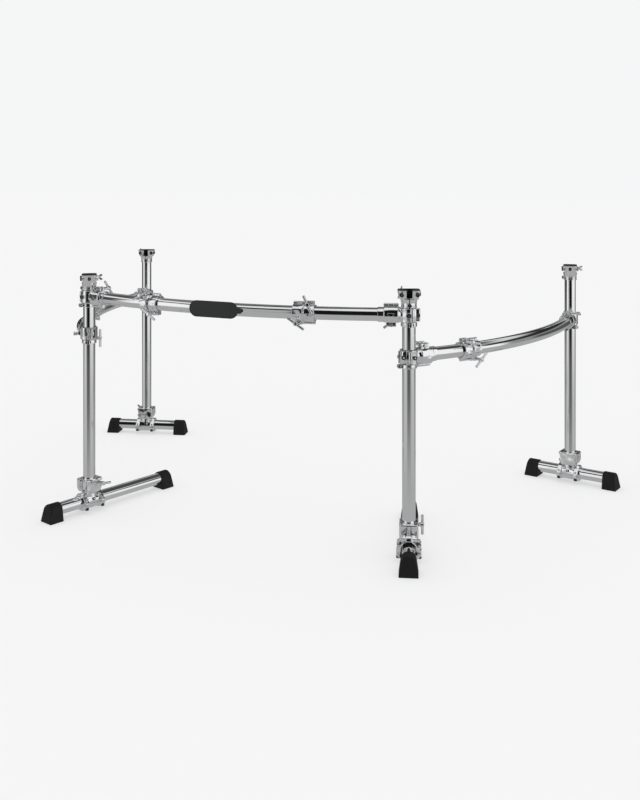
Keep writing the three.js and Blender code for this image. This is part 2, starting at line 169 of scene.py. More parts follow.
def addNode(tree, kind, inputs, **settings):  # gives back the new node's outputs
    node = tree.nodes.new(kind)
    for name, value in settings.items():
        setattr(node, name, value)
    setInputs(node, inputs)
    return node.outputs


def handledSurface():  # blotches, a fine grain and slow waves, shared by every finish
    tree = bpy.data.node_groups.new("handledSurface", "ShaderNodeTree")
    addSockets(tree, "INPUT", {"Colour": "Color", "Roughness": "Float", "Smudge": "Float",
                               "Blotch Scale": "Float", "Grain Scale": "Float", "Wave Scale": "Float"})
    addSockets(tree, "OUTPUT", {"Colour": "Color", "Roughness": "Float", "Height": "Float",
                                "Wave": "Float"})
    given = addNode(tree, "NodeGroupInput", {})
    place = addNode(tree, "ShaderNodeTexCoord", {})["Object"]

    def noise(scale, detail):
        inputs = {"Vector": place, "Scale": given[scale], "Detail": detail}
        return addNode(tree, "ShaderNodeTexNoise", inputs)["Fac"]

    blotch = addNode(tree, "ShaderNodeMapRange", {
        "Value": noise("Blotch Scale", 4),
        "From Min": handling["blotchFrom"],
        "From Max": handling["blotchTo"],
    })["Result"]
    rougher = addNode(tree, "ShaderNodeMath", {0: blotch, 1: given["Smudge"], 2: given["Roughness"]},
                      operation="MULTIPLY_ADD")
    darker = addNode(tree, "ShaderNodeMix", {"Factor": blotch, "A": given["Colour"], "B": handling["tint"]},
                     data_type="RGBA", blend_type="MULTIPLY")
    addNode(tree, "NodeGroupOutput", {
        "Colour": darker["Result"],
        "Roughness": rougher[0],
        "Height": noise("Grain Scale", 2),
        "Wave": noise("Wave Scale", 0),
    })
    return tree


def addFinish(name, values, group):
    material = bpy.data.materials.new(name)
    material.use_nodes = True
    tree = material.node_tree
    surface = addNode(tree, "ShaderNodeGroup", {
        "Colour": (*values["colour"], 1),
        "Roughness": values["rough"],
        "Smudge": values["smudge"],
        "Blotch Scale": values["blotch"],
        "Grain Scale": values["grain"],
        "Wave Scale": handling["waveScale"],
    }, node_tree=group)
    grain = addNode(tree, "ShaderNodeBump", {
        "Strength": 1, "Distance": values["height"], "Height": surface["Height"]})
    wave = addNode(tree, "ShaderNodeBump", {
        "Strength": 1, "Distance": values["wave"], "Height": surface["Wave"], "Normal": grain["Normal"]})
    setInputs(tree.nodes["Principled BSDF"], {
        "Metallic": values["metal"],
        "Base Color": surface["Colour"],
        "Roughness": surface["Roughness"],
        "Normal": wave["Normal"],
    })
    return material


surfaceGroup = handledSurface()
materials = {name: addFinish(name, values, surfaceGroup) for name, values in finishes.items()}
print("finishes:", ", ".join(materials))


# Shaping helpers. Shapes are built in millimetres about their own origin.
def arc(radius, start, end, steps, centre=(0, 0)):  # points on a circle, in degrees
    angles = [math.radians(start + (end - start) * k / steps) for k in range(steps + 1)]
    return [(centre[0] + radius * math.cos(a), centre[1] + radius * math.sin(a)) for a in angles]


def rounded(outline, steps=4):  # turns each (x, y, radius) corner into a short arc
    most = 0.49  # of a side that one arc may take
    points = []
    for i, corner in enumerate(outline):
        here = Vector(corner[:2])
        radius = corner[2] if len(corner) > 2 else 0
        if radius <= 0:
            points.append(here)
            continue
        before = Vector(outline[i - 1][:2]) - here
        after = Vector(outline[(i + 1) % len(outline)][:2]) - here
        half = before.angle(after) / 2
        reach = min(radius / math.tan(half), before.length * most, after.length * most)
        start = here + before.normalized() * reach
        end = here + after.normalized() * reach
        fit = reach * math.tan(half)
        centre = here + (before.normalized() + after.normalized()).normalized() * fit / math.sin(half)
        first = math.atan2(*(start - centre).yx)
        sweep = (math.atan2(*(end - centre).yx) - first + math.pi) % math.tau - math.pi
        for k in range(steps + 1):
            angle = first + sweep * k / steps
            points.append(centre + fit * Vector((math.cos(angle), math.sin(angle))))
    return points


def inset(points, amount):  # an outline drawn in by an amount, for a rounded rim
    drawn = []
    for i, here in enumerate(points):
        a = (here - points[i - 1]).normalized()
        b = (points[(i + 1) % len(points)] - here).normalized()
        normalA, normalB = Vector((-a.y, a.x)), Vector((-b.y, b.x))
        spread = max(1 + normalA.dot(normalB), 0.4)  # sharp corners don't run away
        drawn.append(here + (normalA + normalB) * amount / spread)
    return drawn


def skin(rings, closed):  # faces between rings of equal length, or a ring and one point
    shape = bmesh.new()
    made = [[shape.verts.new(point) for point in ring] for ring in rings]
    pairs = zip(made, made[1:] + made[:1]) if closed else zip(made, made[1:])
    for low, high in pairs:
        for i in range(max(len(low), len(high))):
            around = (low[i % len(low)], low[(i + 1) % len(low)],
                      high[(i + 1) % len(high)], high[i % len(high)])
            face = list(dict.fromkeys(around))
            if len(face) > 2:
                shape.faces.new(face)
    if not closed:
        for ring in (made[0], made[-1]):
            if len(ring) > 2:
                shape.faces.new(ring)
    bmesh.ops.recalc_face_normals(shape, faces=shape.faces)
    mesh = bpy.data.meshes.new("shape")
    shape.to_mesh(mesh)
    shape.free()
    return mesh


def roundOver(rim, steps):  # how far a rounded rim is drawn in and has risen, step by step
    angles = [math.pi / 2 * k / steps for k in range(steps + 1)]
    return [(rim * (1 - math.sin(a)), rim * (1 - math.cos(a))) for a in angles]


def prism(outline, low, high, rim, steps=3):  # an outline raised along Z, its rims rounded
    points = [Vector(point) for point in outline]
    if sum(points[i - 1].cross(points[i]) for i in range(len(points))) < 0:
        points.reverse()
    lower, upper = [], []
    for draw, rise in roundOver(rim, steps) if rim > 0 else [(0, 0)]:
        drawn = inset(points, draw)
        lower.append([(p.x, p.y, low + rise) for p in drawn])
        upper.append([(p.x, p.y, high - rise) for p in drawn])
    return skin(lower + upper[::-1], False)


def lathe(profile, segments):  # a closed (radius, z) profile turned round the Z axis
    onAxis = 1e-6
    closed = all(point[0] > onAxis for point in profile)
    turns = [math.tau * i / segments for i in range(segments)]
    rings = []
    for radius, z in profile:
        if radius <= onAxis:
            rings.append([(0, 0, z)])
        else:
            rings.append([(radius * math.cos(a), radius * math.sin(a), z) for a in turns])
    return skin(rings, closed)


def rod(radius, low, high, rim, segments=32):
    profile = [(0, low), (radius, low, rim), (radius, high, rim), (0, high)]
    return lathe(rounded(profile, 3), segments)


def pipe(outer, inner, low, high, rim, segments=64):
    profile = [(inner, low, rim), (outer, low, rim), (outer, high, rim), (inner, high, rim)]
    return lathe(rounded(profile, 3), segments)


over = 4  # how far a cutter runs past a face
beyond = 60  # past every side of a casting


def block(low, high, rim):
    (x0, y0, z0), (x1, y1, z1) = low, high
    corner = 1.3 * rim
    outline = rounded([(x0, y0, corner), (x1, y0, corner), (x1, y1, corner), (x0, y1, corner)])
    return prism(outline, z0, z1, rim)


def plainMesh(piece, *helpers):  # what an object and its modifiers make, the objects then gone
    evaluated = piece.evaluated_get(bpy.context.evaluated_depsgraph_get())
    mesh = bpy.data.meshes.new_from_object(evaluated)
    piece.modifiers.clear()
    for used in (piece, *helpers):
        bpy.data.objects.remove(used)
    return mesh


def combined(operation, mesh, others):  # a boolean of closed shapes
    body, *tools = [newObject("shape", shape) for shape in (mesh, *others)]
    for tool in tools:
        modifier = body.modifiers.new("boolean", "BOOLEAN")
        modifier.operation = operation
        modifier.solver = "EXACT"
        modifier.object = tool
    return plainMesh(body, *tools)


def cut(mesh, *cutters):
    return combined("DIFFERENCE", mesh, cutters)


def fused(mesh, *added):
    return combined("UNION", mesh, added)


def bothSides(side):  # an outline's right side, then its reflection
    return [*side, *((-x, *rest) for x, *rest in reversed(side))]


def turned(mesh, x=0, y=0, z=0, move=(0, 0, 0)):  # a copy turned by degrees, then moved
    copy = mesh.copy()
    turn = Matrix.Rotation(math.radians(z), 4, "Z") @ Matrix.Rotation(math.radians(y), 4, "Y")
    copy.transform(Matrix.Translation(move) @ turn @ Matrix.Rotation(math.radians(x), 4, "X"))
    return copy


def mirrored(mesh, axis):  # a copy reflected through its origin along "X", "Y" or "Z"
    copy = mesh.copy()
    copy.transform(Matrix.Scale(-1, 4, Vector([float(axis == name) for name in "XYZ"])))
    copy.flip_normals()
    return copy


def placed(kit, matrix):  # a kit is a list of (mesh, finish)
    copies = []
    for mesh, finish in kit:
        copy = mesh.copy()
        copy.transform(matrix)
        copies.append((copy, finish))
    return copies


pieces = []
creaseDegrees = 32


def addPiece(name, kit, body, slot, *nodes):  # one object of a kit that is in place
    joined = bmesh.new()
    used = list(dict.fromkeys(finish for mesh, finish in kit))
    for mesh, finish in kit:
        first = len(joined.faces)
        joined.from_mesh(mesh)
        joined.faces.ensure_lookup_table()
        for face in joined.faces[first:]:
            face.material_index = used.index(finish)
    mesh = bpy.data.meshes.new(name)
    joined.to_mesh(mesh)
    joined.free()
    for finish in used:
        mesh.materials.append(materials[finish])
    mesh.shade_smooth()
    mesh.set_sharp_from_angle(angle=math.radians(creaseDegrees))
    piece = newObject(name, mesh)
    weighted = piece.modifiers.new("weightedNormals", "WEIGHTED_NORMAL")
    weighted.keep_sharp = True
    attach(piece, body)
    if nodes:
        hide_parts(*nodes)
    pieces.append(piece)


# Studio: a seamless pale floor and backdrop under soft light. What polished metal
# reflects is a room of panels, painted one over the other. Bearings are in degrees from
# the camera's side, positive to its left, and elevations in degrees above the horizon.
studio = {
    "floorSize": 60,  # metres
    "paper": (0.92, 0.92, 0.925),
    "floorGlow": 0.55,
    "backdrop": (0.915, 0.92, 0.925),
    "fill": 0.92,
    "sunStrength": 0.85,
    "sunSpreadDegrees": 70,
    "wallTone": 0.34,
}
roomPanels = {  # bearings, elevations, brightness and the width of the soft edge
    "low left wall": ((26, 110), (-120, 0), 0.8, 22),
    "low right wall": ((-106, -26), (-120, 0), 0.78, 22),
    "left screen": ((18, 56), (-8, 120), 0.5, 8),
    "left soft box": ((46, 122), (-14, 120), 1.15, 8),
    "right soft box": ((-98, -24), (-14, 120), 1.15, 8),
    "left box rim": ((60, 220), (34, 50), 0.1, 6),
    "dark header": ((-60, 72), (30, 54), 0.02, 5),
    "right rim": ((-220, -84), (12, 32), 0.03, 5),
    "pale wall behind": ((-220, -106), (30, 45), 0.85, 5),
    "left doorway": ((78, 164), (-14, 30), 0.08, 8),
    "right doorway": ((-164, -106), (-14, 12), 0.1, 8),
    "low camera gap": ((-20, 32), (-120, -9), 0.1, 4),
    "camera gap": ((-20, 32), (-13, 54), 0.01, 4),
    "ceiling": ((-220, 220), (52, 120), 1.0, 8),
    "dark wall behind, left": ((100, 220), (50, 84), 0.1, 8),
    "dark wall behind, right": ((-220, -86), (37, 84), 0.08, 8),
    "floor": ((-220, 220), (-120, -11), 0.5, 8),
}


def addFloor():
    half = studio["floorSize"] / 2
    mesh = bpy.data.meshes.new("floor")
    mesh.from_pydata([(-half, -half, 0), (half, -half, 0), (half, half, 0), (-half, half, 0)],
                     [], [(0, 1, 2, 3)])
    floor = newObject("floor", mesh)
    floor.visible_glossy = False
    material = bpy.data.materials.new("floorPaper")
    material.use_nodes = True
    glow = studio["floorGlow"]  # glowing paper keeps the shadows as faint as the photograph's
    setInputs(material.node_tree.nodes["Principled BSDF"], {
        "Base Color": (*[value * (1 - glow) for value in studio["paper"]], 1),
        "Emission Color": (*studio["paper"], 1),
        "Emission Strength": glow,
        "Roughness": 1,
        "Specular IOR Level": 0,
    })
    mesh.materials.append(material)


def addSun():
    sun = newObject("sun", bpy.data.lights.new("sun", "SUN"))
    sun.data.energy = studio["sunStrength"]
    sun.data.angle = math.radians(studio["sunSpreadDegrees"])
    sun.visible_glossy = False


def addRoom():
    world = bpy.data.worlds.new("studioRoom")
    bpy.context.scene.world = world
    world.use_nodes = True
    tree = world.node_tree
    tree.nodes.clear()

    def calculate(operation, *inputs):
        return addNode(tree, "ShaderNodeMath", dict(enumerate(inputs)), operation=operation)[0]

    def above(value, start, soft):  # 0 below start, 1 a soft edge above it
        inputs = {"Value": value, "From Min": start, "From Max": start + soft}
        return addNode(tree, "ShaderNodeMapRange", inputs, interpolation_type="SMOOTHSTEP")["Result"]

    def within(value, limits, soft):
        below = calculate("SUBTRACT", 1, above(value, limits[1] - soft, soft))
        return calculate("MULTIPLY", above(value, limits[0], soft), below)

    def painted(under, bearings, elevations, level, soft):
        share = calculate("MULTIPLY", within(bearing, bearings, soft), within(elevation, elevations, soft))
        kept = calculate("SUBTRACT", 1, share)
        return calculate("MULTIPLY_ADD", under, kept, calculate("MULTIPLY", share, level))

    place = addNode(tree, "ShaderNodeTexCoord", {})["Generated"]
    x, y, z = addNode(tree, "ShaderNodeSeparateXYZ", {0: place})
    turn = math.radians(view["turnDegrees"])
    cosines = [calculate("MULTIPLY", part, math.cos(turn)) for part in (x, y)]
    sines = [calculate("MULTIPLY", part, math.sin(turn)) for part in (x, y)]
    left = calculate("MULTIPLY", calculate("ADD", cosines[0], sines[1]), -1)
    back = calculate("SUBTRACT", sines[0], cosines[1])
    degrees = 180 / math.pi
    bearing = calculate("MULTIPLY", calculate("ARCTAN2", left, back), degrees)
    elevation = calculate("MULTIPLY", calculate("ARCSINE", z), degrees)

    room = studio["wallTone"]
    for panel in roomPanels.values():
        room = painted(room, *panel)

    ray = addNode(tree, "ShaderNodeLightPath", {})
    seen = addNode(tree, "ShaderNodeBackground", {"Color": (*studio["backdrop"], 1)})[0]
    lit = addNode(tree, "ShaderNodeBackground", {"Strength": studio["fill"]})[0]
    reflected = addNode(tree, "ShaderNodeBackground", {"Strength": room})[0]
    unseen = addNode(tree, "ShaderNodeMixShader", {0: ray["Is Glossy Ray"], 1: lit, 2: reflected})[0]
    shown = addNode(tree, "ShaderNodeMixShader", {0: ray["Is Camera Ray"], 1: unseen, 2: seen})[0]
    addNode(tree, "ShaderNodeOutputWorld", {"Surface": shown})


addFloor()
addSun()
addRoom()
bpy.context.scene.view_settings.view_transform = "Standard"
print("studio is up")


# Posts and foot tubes
straightTube = {"wall": 1.6, "rim": 0.4, "sides": 96}


def straightPipe(low, high):  # its ends in metres along Z
    return pipe(tubeRadius, tubeRadius - straightTube["wall"], low / mm, high / mm,
                straightTube["rim"], straightTube["sides"])


def addPosts():
    for corner in corners:
        node = f"{corner}_post"
        shape = straightPipe(*extent(node, postAxis[corner], up))
        kit = placed([(shape, "tubeChrome")], axes(postAxis[corner], Vector((1, 0, 0)), up))
        addPiece(f"{corner}_post_tube", kit, node, "tube_chrome", node)


def legFrame(corner):  # on the floor under the post, X along the foot
    return axes(postAxis[corner], jointAxis(f"{corner}_foot_reach"), up)


def addFootTubes():
    for corner in corners:
        node = f"{corner}_foot_tube"
        shape = straightPipe(*extent(node, postAxis[corner], jointAxis(f"{corner}_foot_reach")))
        lying = turned(shape, y=90, move=(0, 0, middle(node).z / mm))
        kit = placed([(lying, "tubeChrome")], legFrame(corner))
        addPiece(f"{corner}_foot_pipe", kit, f"{corner}_foot", "tube_chrome", node)


# The curved bars, swept along their centre lines by Geometry Nodes
curvedBar = {"sides": 96, "steps": 120, "endSetback": 33}
barEnds = {  # the posts at both ends, and a clamp whose slide gives the bend's centre
    "front_bar": ("front_left", "front_right", "left_accessory_clamp"),
    "left_side_bar": ("rear_left", "front_left", "outer_left_accessory_clamp"),
    "right_side_bar": ("front_right", "rear_right", "outer_right_accessory_clamp"),
}


def geometryTree(name, kinds):  # a tree that takes these inputs, and its input node's outputs
    tree = bpy.data.node_groups.new(name, "GeometryNodeTree")
    addSockets(tree, "INPUT", {"Geometry": "Geometry", **kinds, "Finish": "Material"})
    addSockets(tree, "OUTPUT", {"Geometry": "Geometry"})
    return tree, addNode(tree, "NodeGroupInput", {})


def endTree(tree, given, geometry):  # realizes what was made and gives it its finish
    made = addNode(tree, "GeometryNodeRealizeInstances", {"Geometry": geometry})["Geometry"]
    dressed = addNode(tree, "GeometryNodeSetMaterial", {"Geometry": made, "Material": given["Finish"]})
    addNode(tree, "NodeGroupOutput", {"Geometry": dressed["Geometry"]})
    return tree


def addTree(holder, tree, **values):  # each value goes to the named input's identifier
    modifier = holder.modifiers.new("nodes", "NODES")
    modifier.node_group = tree
    for item in tree.interface.items_tree:
        if item.in_out == "INPUT" and item.name in values:
            modifier[item.identifier] = values[item.name]


def sweepTree():
    tree, given = geometryTree("roundBarOnPath", {"Radius": "Float", "Sides": "Int"})
    ring = addNode(tree, "GeometryNodeCurvePrimitiveCircle", {
        "Resolution": given["Sides"], "Radius": given["Radius"]})
    sweep = addNode(tree, "GeometryNodeCurveToMesh", {
        "Curve": given["Geometry"], "Profile Curve": ring["Curve"], "Fill Caps": True})
    return endTree(tree, given, sweep["Mesh"])


def barPath(bar):  # centre line in metres: a straight end, the arc, a straight end
    firstCorner, lastCorner, clamp = barEnds[bar]
    centre = jointPlace(f"{clamp}_slide").xy
    radius = (jointPlace(f"{clamp}_swivel_turn").xy - centre).length
    height = middle(bar).z
    tangents = []
    for corner, side in ((firstCorner, 1), (lastCorner, -1)):
        arm = postAxis[corner].xy - centre
        swing = math.acos(radius / arm.length)
        tangents.append(math.atan2(arm.y, arm.x) + side * swing)
    start, end = tangents
    sweep = (end - start + math.pi) % math.tau - math.pi
    points = []
    for k in range(curvedBar["steps"] + 1):
        angle = start + sweep * k / curvedBar["steps"]
        points.append(centre + radius * Vector((math.cos(angle), math.sin(angle))))
    first = postAxis[firstCorner].xy
    last = postAxis[lastCorner].xy
    setback = curvedBar["endSetback"] * mm
    points.insert(0, first + (points[0] - first).normalized() * setback)
    points.append(last + (points[-1] - last).normalized() * setback)
    return [Vector((p.x, p.y, height)) for p in points]


def addBars():
    tree = sweepTree()
    for bar in barEnds:
        points = barPath(bar)
        curve = bpy.data.curves.new("barPath", "CURVE")
        curve.dimensions = "3D"
        spline = curve.splines.new("POLY")
        spline.points.add(len(points) - 1)
        for target, point in zip(spline.points, points):
            target.co = (*point, 1)
        path = newObject("barPath", curve)
        addTree(path, tree, Radius=tubeRadius * mm, Sides=curvedBar["sides"],
                Finish=materials["tubeChrome"])
        addPiece(f"{bar}_tube", [(plainMesh(path), "tubeChrome")], bar, "tube_chrome", bar)


addPosts()
addFootTubes()
addBars()
print("tubes:", len(pieces), "pieces")


# Drum-key bolts and nuts, set on their spots by Geometry Nodes
fastener = {
    "keyRadius": 6,
    "keyLength": 5,
    "recess": 3.2,
    "recessRadius": 4.3,
    "studHalf": 2.1,
    "nutRadius": 6.6,
    "nutLength": 4.4,
    "domeRadius": 5.2,
    "domeLength": 4.6,
}


def keyBolt():  # a dark cup round a bright square stud, its seat at z = 0
    f = fastener
    floor = f["keyLength"] - f["recess"]
    profile = [(0, 0), (f["keyRadius"], 0, 0.4), (f["keyRadius"], f["keyLength"], 0.7),
               (f["recessRadius"], f["keyLength"], 0.4), (f["recessRadius"], floor), (0, floor)]
    half = f["studHalf"]
    stud = block((-half, -half, floor - 0.2), (half, half, f["keyLength"] - 0.3), 0.4)
    return [(lathe(rounded(profile, 3), 28), "boltSteel"), (stud, "screwChrome")]


def hexNut():
    corner = [(*point, 0.8) for point in arc(fastener["nutRadius"], 0, 300, 5)]
    return [(prism(rounded(corner, 2), 0, fastener["nutLength"], 0.7), "screwChrome")]


def domeNut():
    f = fastener
    top = [(f["domeRadius"] * math.cos(a), f["domeLength"] * math.sin(a))
           for a in (math.radians(15 * k) for k in range(1, 6))]
    profile = [(0, 0), (f["domeRadius"], 0), *top, (0, f["domeLength"])]
    return [(lathe(profile, 24), "screwChrome")]


def spotTree():
    tree, given = geometryTree("shapeOnSpots", {"Shape": "Object", "Unit": "Float"})

    def carried(name, kind):  # a value that each spot carries
        return addNode(tree, "GeometryNodeInputNamedAttribute", {"Name": name}, data_type=kind)["Attribute"]

    scale = addNode(tree, "ShaderNodeMath", {0: carried("size", "FLOAT"), 1: given["Unit"]},
                    operation="MULTIPLY")
    turn = addNode(tree, "FunctionNodeAlignRotationToVector",
                   {"Vector": carried("facing", "FLOAT_VECTOR")}, axis="Z")
    shape = addNode(tree, "GeometryNodeObjectInfo", {"Object": given["Shape"]})
    instance = addNode(tree, "GeometryNodeInstanceOnPoints", {
        "Points": given["Geometry"], "Instance": shape["Geometry"],
        "Rotation": turn["Rotation"], "Scale": scale[0]})
    return endTree(tree, given, instance["Instances"])


spots = {}  # body: kind: (place, facing, size), filled as the castings are made
fastenerKinds = {"keyBolt": keyBolt(), "hexNut": hexNut(), "domeNut": domeNut()}
spotFasteners = spotTree()


def addSpot(body, kind, matrix, place, facing, size=1):
    out = (matrix.to_3x3() @ Vector(facing)).normalized()
    spots.setdefault(body, {}).setdefault(kind, []).append((matrix @ Vector(place), out, size))


def onSpots(shape, finish, where):  # one mesh of a shape repeated on its spots
    points = bpy.data.meshes.new("spots")
    points.from_pydata([place for place, facing, size in where], [], [])
    for name, kind in (("facing", "FLOAT_VECTOR"), ("size", "FLOAT")):
        points.attributes.new(name, kind, "POINT")
    for i, (place, facing, size) in enumerate(where):
        points.attributes["facing"].data[i].vector = facing
        points.attributes["size"].data[i].value = size
    holder = newObject("spots", points)
    source = newObject("shape", shape)
    addTree(holder, spotFasteners, Shape=source, Finish=materials[finish], Unit=mm)
    return plainMesh(holder, source)


def addFasteners():
    for body, kinds in spots.items():
        kit = [(onSpots(shape, finish, where), finish)
               for kind, where in kinds.items() for shape, finish in fastenerKinds[kind]]
        addPiece(f"{body}_bolts", kit, body, "screw_chrome")


# The tightening screws: a turned collar with a sliding bar through it
handleScrew = {
    "shankRadius": 2.9,
    "tip": 14,
    "seat": 9.3,
    "washerRadius": 7.8,
    "washer": 1.3,
    "collarRadius": 6.2,
    "collarFoot": 4,  # from the washer up
    "waistFoot": 6.5,  # from the washer up
    "waistRadius": 4.7,
    "waistTop": 9,  # from the bar down
    "headFoot": 6,  # from the bar down
    "barPlace": 38,
    "collarEnd": 43,
    "barRadius": 3.8,
    "barHalf": 29,
    "barRim": 1.7,
}


def handleScrewKit():  # along Z from midway between the ears, its bar along X
    s = handleScrew
    shoulder = s["seat"] + s["washer"]
    wide, narrow = s["collarRadius"], s["waistRadius"]
    profile = [(0, shoulder), (wide, shoulder, 0.5),
               (wide, shoulder + s["collarFoot"], 1), (narrow, shoulder + s["waistFoot"], 1.5),
               (narrow, s["barPlace"] - s["waistTop"], 1.5), (wide, s["barPlace"] - s["headFoot"], 1.5),
               (wide, s["collarEnd"], 2), (0, s["collarEnd"])]
    collar = lathe(rounded(profile, 4), 40)
    washer = rod(s["washerRadius"], s["seat"] - 0.1, shoulder, 0.4)
    shank = rod(s["shankRadius"], -s["tip"], shoulder + 1, 0.8, 24)
    bar = turned(rod(s["barRadius"], -s["barHalf"], s["barHalf"], s["barRim"], 28), y=90,
                 move=(0, 0, s["barPlace"]))
    return [(shape, "screwChrome") for shape in (collar, washer, shank, bar)]


def addScrew(node, kit, ending):  # on its joint, its handle turned as the node's is
    place, axis = jointPlace(f"{node}_turn"), jointAxis(f"{node}_turn")
    where = axes(place, farthest(node, place, axis), axis)
    addPiece(f"{node}_{ending}", placed(kit, where), node, "screw_chrome", node)


def addHandleScrews():
    kit = handleScrewKit()
    for name in joints:
        if name.endswith("_screw_turn") and "_wing_" not in name:
            addScrew(name.removesuffix("_turn"), kit, "with_bar")


# The wing screws across the chucks
wingScrew = {
    "headSeat": 24.3,
    "shankRadius": 2.9,
    "hubRadius": 5.6,
    "hubEnd": 33.3,
    "wingStart": 27,
    "wingSpan": 19,
    "wingDepth": 15,
    "wingHalf": 2,
}


def wingScrewKit():  # along Z from midway through the cup, its wings along X
    s = wingScrew
    span, depth = s["wingSpan"], s["wingDepth"]
    outline = bothSides([(5, 0), (11, 4.5, 4), (span, 7, 4), (span, depth, 4), (13, depth, 4), (5, 8, 4)])
    wings = prism(rounded(outline, 5), -s["wingHalf"], s["wingHalf"], 1.2)
    hubProfile = [(0, s["headSeat"]), (s["hubRadius"] + 1.2, s["headSeat"], 0.4),
                  (s["hubRadius"], s["headSeat"] + 3, 1), (s["hubRadius"] - 0.8, s["hubEnd"], 1.6),
                  (0, s["hubEnd"])]
    hub = lathe(rounded(hubProfile, 3), 32)
    standing = turned(wings, x=90, move=(0, 0, s["wingStart"]))
    shank = rod(s["shankRadius"], -s["headSeat"] - 1, s["headSeat"] + 1, 0.4, 20)
    head = [(turned(shape, x=180, move=(0, 0, -s["headSeat"])), finish) for shape, finish in keyBolt()]
    return [(fused(hub, standing), "screwChrome"), (shank, "screwChrome"), *head]


def addWingScrews():
    kit = wingScrewKit()
    for corner in corners:
        addScrew(f"{corner}_chuck_wing_screw", kit, "winged")


# Rubber boots pulled over the ends of the foot tubes
boot = {
    "length": 50,
    "width": 54,
    "wall": 3.2,
    "edge": 4,  # height of the upright edge above the sole
    "rake": 10,  # how far the outer face leans back at the top
    "grip": 34,
    "mouth": 19.5,
    "rim": 3.2,
    "rimSteps": 4,
    "archSteps": 28,
}


def bootOutline(height):  # across the tube, sides running up into the arch
    arch = tubeRadius + boot["wall"]
    half = boot["width"] / 2
    drop = height - boot["edge"]
    side = math.degrees(math.acos(arch / math.hypot(half, drop)) - math.atan2(drop, half))
    over = arc(arch, side, 180 - side, boot["archSteps"], (0, height))
    return rounded([(half, 0, 1.6), (half, boot["edge"], 2), *over,
                    (-half, boot["edge"], 2), (-half, 0, 1.6)])


def bootKit(height):  # on the floor under its inner face, the outer face to +X
    outline = bootOutline(height)
    top = height + tubeRadius + boot["wall"]
    rims = [(inset(outline, draw), back) for draw, back in roundOver(boot["rim"], boot["rimSteps"])]
    rings = [[(back, p.x, p.y) for p in drawn] for drawn, back in rims]
    rings += [[(boot["length"] - back - boot["rake"] * p.y / top, p.x, p.y) for p in drawn]
              for drawn, back in reversed(rims)]
    flat = [[(x, y, max(z, 0)) for x, y, z in ring] for ring in rings]
    mouth = turned(rod(boot["mouth"], -5, boot["grip"] + 0.6, 0.4, 64), y=90, move=(0, 0, height))
    return [(cut(skin(flat, False), mouth), "bootRubber")]


def addBoots():
    for corner in corners:
        kit = bootKit(middle(f"{corner}_foot_tube").z / mm)
        along = jointAxis(f"{corner}_foot_reach")
        for end, outward in (("ahead", along), ("behind", -along)):
            node = f"{corner}_foot_boot_{end}"
            inner = extent(node, postAxis[corner], outward)[0]
            where = axes(postAxis[corner] + outward * inner, outward, up)
            addPiece(f"{node}_rubber", placed(kit, where), f"{corner}_foot", "boot_rubber", node)


# Split rings: two shells on a hinge pin, drawn together by a screw through their ears.
# In a ring's own frame its hollow runs along Z and its ears point to +X.
splitRing = {
    "radius": 26.5,
    "bore": 19.35,
    "halfSlit": 1.3,
    "earHalf": 9,
    "earReach": 34,
    "earCorner": 4.5,
    "flatStart": 20.5,  # past this the shells are cut flat for the screw
    "screwPlace": 27,
    "knuckleRadius": 5.3,
    "knucklePlace": 27.3,
    "pinRadius": 2.4,
    "padRadius": 9.5,
    "padPlace": -7,
    "padFace": 27.2,
    "padRise": 3.5,
    "shellEnd": 177,  # degrees from the ears, at the hinge
    "boreEnd": 177.6,
}


def ringAngles():  # where the flat cut and the slit meet a ring, in degrees from its ears
    r = splitRing
    flat = math.degrees(math.acos(r["flatStart"] / r["radius"]))
    return flat, math.degrees(math.asin(r["halfSlit"] / r["bore"]))


def ringEar(reach, width, corner):  # the ear on the slit's +Y side
    r = splitRing
    outline = rounded([(r["bore"] + 0.4, r["halfSlit"]), (reach, r["halfSlit"], 0.8),
                       (reach, r["earHalf"], corner), (r["bore"] + 0.4, r["earHalf"])], 5)
    return prism(outline, -width / 2, width / 2, 1.5, 4)


def ringShell(length, earWidth, rim):  # the shell on the +Y side
    r = splitRing
    flat, slit = ringAngles()
    outline = arc(r["radius"], flat, r["shellEnd"], 36) + arc(r["bore"], r["boreEnd"], slit, 40)
    outline += [(r["flatStart"], r["halfSlit"])]
    shell = prism(outline, -length / 2, length / 2, rim, 4)
    pad = prism(arc(r["padRadius"], -90, 90, 20), -r["padRise"], 0, 0.7)
    raised = turned(pad, x=90, move=(r["padPlace"], r["padFace"] - r["padRise"], 0))
    return fused(shell, ringEar(r["earReach"], earWidth, r["earCorner"]), raised)


def hinge(length, barrels, radius, pin):  # barrels on a pin along Z
    step = length / barrels
    shapes = [rod(pin, -length / 2 - 0.6, length / 2 + 0.6, 0.5, 20)]
    for k in range(barrels):
        low = -length / 2 + k * step
        shapes.append(rod(radius, low + 0.25, low + step - 0.25, 0.6, 28))
    return shapes


def ringKit(length, earWidth, rim=1.8):
    shell = ringShell(length, earWidth, rim)
    knuckles = hinge(length, 3, splitRing["knuckleRadius"], splitRing["pinRadius"])
    parts = [shell, mirrored(shell, "Y")]
    parts += [turned(shape, move=(-splitRing["knucklePlace"], 0, 0)) for shape in knuckles]
    return [(part, "castChrome") for part in parts]


def ringNut(body, matrix, side):  # the nut in the ear that the screw's tip comes out of
    place = (splitRing["screwPlace"], side * (splitRing["earHalf"] - 0.2), 0)
    addSpot(body, "hexNut", matrix, place, (0, side, 0))


